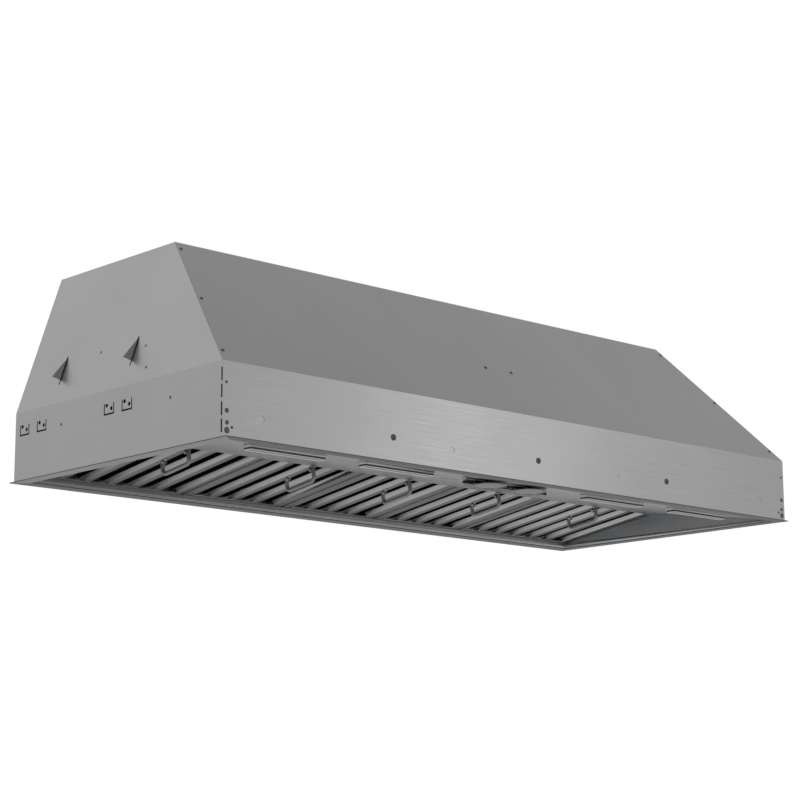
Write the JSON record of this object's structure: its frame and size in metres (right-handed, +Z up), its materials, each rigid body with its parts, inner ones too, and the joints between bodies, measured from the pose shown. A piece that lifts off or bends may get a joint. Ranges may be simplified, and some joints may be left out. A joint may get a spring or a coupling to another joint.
{
  "type": "range hood insert",
  "caption": "Built-in range hood insert: sloping sheet steel body, baffle filters with wire handles, slim lamps, dials, side wings, blower and damper collar.",
  "frame": {"origin": "below the middle of the whole object, on the plane of the rim's lower face", "axes": "+X to the right seen from the front, +Y from the front to the back, +Z up"},
  "size_m": [1.1598, 0.5016, 0.33],
  "materials": {
    "front_steel": "brushed stainless steel, fine horizontal grain",
    "side_steel": "brushed stainless steel, fine horizontal grain",
    "rear_steel": "plain mill-finish steel",
    "rim_steel": "brushed stainless steel",
    "liner_steel": "brushed stainless steel",
    "lamp_panel_steel": "satin stainless steel",
    "filter_steel": "satin stainless steel",
    "wire_steel": "bright drawn wire",
    "lamp_metal": "satin aluminium",
    "lamp_lens": "frosted light diffuser",
    "dial_metal": "polished metal",
    "black_plastic": "black moulded plastic",
    "wing_steel": "dark oiled spring steel",
    "zinc_steel": "zinc coated steel",
    "spring_wire": "spring wire",
    "impeller_metal": "plain aluminium",
    "shaft_steel": "ground steel",
    "motor_paint": "black paint",
    "board_green": "glass fibre circuit board",
    "driver_plastic": "white moulded plastic",
    "fastener_steel": "plated steel"
  },
  "bodies": {
    "hood": {"front_panel": "front_steel", "upper_front_panel": "front_steel", "left_side_panel": "side_steel", "right_side_panel": "side_steel", "back_panel": "rear_steel", "top_panel": "rear_steel", "bottom_rim": "rim_steel", "inner_liner": "liner_steel", "lamp_panel": "lamp_panel_steel", "filter_rails": "liner_steel", "lamp_housing_1": "lamp_metal", "lamp_lens_1": "lamp_lens", "lamp_housing_2": "lamp_metal", "lamp_lens_2": "lamp_lens", "lamp_housing_3": "lamp_metal", "lamp_lens_3": "lamp_lens", "lamp_housing_4": "lamp_metal", "lamp_lens_4": "lamp_lens", "control_bar": "lamp_metal", "control_window": "black_plastic", "control_carrier": "zinc_steel", "control_board": "board_green", "wing_brackets": "zinc_steel", "wing_springs": "spring_wire", "blower_housing": "zinc_steel", "motor": "motor_paint", "motor_bracket": "zinc_steel", "duct_collar": "zinc_steel", "damper_pin": "shaft_steel", "junction_box": "zinc_steel", "junction_cover": "zinc_steel", "lamp_driver": "driver_plastic", "panel_screws": "fastener_steel", "panel_rivets": "fastener_steel"},
    "filter_1": {"filter_frame_1": "filter_steel", "filter_baffles_1": "filter_steel"},
    "handle_1": {"filter_handle_1": "wire_steel"},
    "filter_2": {"filter_frame_2": "filter_steel", "filter_baffles_2": "filter_steel"},
    "handle_2": {"filter_handle_2": "wire_steel"},
    "filter_3": {"filter_frame_3": "filter_steel", "filter_baffles_3": "filter_steel"},
    "handle_3": {"filter_handle_3": "wire_steel"},
    "filter_4": {"filter_frame_4": "filter_steel", "filter_baffles_4": "filter_steel"},
    "handle_4": {"filter_handle_4": "wire_steel"},
    "filter_5": {"filter_frame_5": "filter_steel", "filter_baffles_5": "filter_steel"},
    "handle_5": {"filter_handle_5": "wire_steel"},
    "fan_dial": {"fan_dial": "dial_metal"},
    "light_dial": {"light_dial": "dial_metal"},
    "wing_left_front": {"wing_left_front": "wing_steel"},
    "wing_left_rear": {"wing_left_rear": "wing_steel"},
    "wing_right_front": {"wing_right_front": "wing_steel"},
    "wing_right_rear": {"wing_right_rear": "wing_steel"},
    "impeller": {"impeller": "impeller_metal", "motor_shaft": "shaft_steel"},
    "flap_front": {"damper_flap_front": "zinc_steel"},
    "flap_rear": {"damper_flap_rear": "zinc_steel"}
  },
  "joints": [
    {"name": "filter_1_lift", "type": "hinge", "parent": "hood", "child": "filter_1", "pos_m": [-0.42425, 0.23125, 0.00906], "axis": [-1, 0, 0], "range_deg": [0, 6]},
    {"name": "handle_1_swing", "type": "hinge", "parent": "filter_1", "child": "handle_1", "pos_m": [-0.42725, 0.02764, 0.03541], "axis": [0, 0.9892, -0.1467], "range_deg": [-80, 80]},
    {"name": "filter_2_lift", "type": "hinge", "parent": "hood", "child": "filter_2", "pos_m": [-0.1945, 0.23125, 0.00906], "axis": [-1, 0, 0], "range_deg": [0, 6]},
    {"name": "handle_2_swing", "type": "hinge", "parent": "filter_2", "child": "handle_2", "pos_m": [-0.1975, 0.02764, 0.03541], "axis": [0, 0.9892, -0.1467], "range_deg": [-80, 80]},
    {"name": "filter_3_lift", "type": "hinge", "parent": "hood", "child": "filter_3", "pos_m": [0, 0.23125, 0.00906], "axis": [-1, 0, 0], "range_deg": [0, 6]},
    {"name": "handle_3_swing", "type": "hinge", "parent": "filter_3", "child": "handle_3", "pos_m": [-0.003, 0.02764, 0.03541], "axis": [0, 0.9892, -0.1467], "range_deg": [-80, 80]},
    {"name": "filter_4_lift", "type": "hinge", "parent": "hood", "child": "filter_4", "pos_m": [0.1945, 0.23125, 0.00906], "axis": [-1, 0, 0], "range_deg": [0, 6]},
    {"name": "handle_4_swing", "type": "hinge", "parent": "filter_4", "child": "handle_4", "pos_m": [0.1915, 0.02764, 0.03541], "axis": [0, 0.9892, -0.1467], "range_deg": [-80, 80]},
    {"name": "filter_5_lift", "type": "hinge", "parent": "hood", "child": "filter_5", "pos_m": [0.42425, 0.23125, 0.00906], "axis": [-1, 0, 0], "range_deg": [0, 6]},
    {"name": "handle_5_swing", "type": "hinge", "parent": "filter_5", "child": "handle_5", "pos_m": [0.42125, 0.02764, 0.03541], "axis": [0, 0.9892, -0.1467], "range_deg": [-80, 80]},
    {"name": "fan_dial_turn", "type": "hinge", "parent": "hood", "child": "fan_dial", "pos_m": [-0.0415, -0.18375, 0.002], "axis": [0, 0, 1], "range_deg": [0, 270]},
    {"name": "light_dial_turn", "type": "hinge", "parent": "hood", "child": "light_dial", "pos_m": [0.0415, -0.18375, 0.002], "axis": [0, 0, 1], "range_deg": [0, 270]},
    {"name": "wing_left_front_swing", "type": "hinge", "parent": "hood", "child": "wing_left_front", "pos_m": [-0.55073, -0.02525, 0.16574], "axis": [0, -1, 0], "range_deg": [0, 20], "stiffness_Nm_per_rad": 0.5},
    {"name": "wing_left_rear_swing", "type": "hinge", "parent": "hood", "child": "wing_left_rear", "pos_m": [-0.55073, 0.14575, 0.16574], "axis": [0, -1, 0], "range_deg": [0, 20], "stiffness_Nm_per_rad": 0.5},
    {"name": "wing_right_front_swing", "type": "hinge", "parent": "hood", "child": "wing_right_front", "pos_m": [0.55073, -0.02525, 0.16574], "axis": [0, 1, 0], "range_deg": [0, 20], "stiffness_Nm_per_rad": 0.5},
    {"name": "wing_right_rear_swing", "type": "hinge", "parent": "hood", "child": "wing_right_rear", "pos_m": [0.55073, 0.14575, 0.16574], "axis": [0, 1, 0], "range_deg": [0, 20], "stiffness_Nm_per_rad": 0.5},
    {"name": "impeller_spin", "type": "hinge", "parent": "hood", "child": "impeller", "pos_m": [0, 0.04925, 0.182], "axis": [1, 0, 0], "continuous": true},
    {"name": "flap_front_open", "type": "hinge", "parent": "hood", "child": "flap_front", "pos_m": [0, 0.12225, 0.3182], "axis": [-1, 0, 0], "range_deg": [0, 80]},
    {"name": "flap_rear_open", "type": "hinge", "parent": "hood", "child": "flap_rear", "pos_m": [0, 0.12225, 0.3182], "axis": [1, 0, 0], "range_deg": [0, 80]}
  ]
}
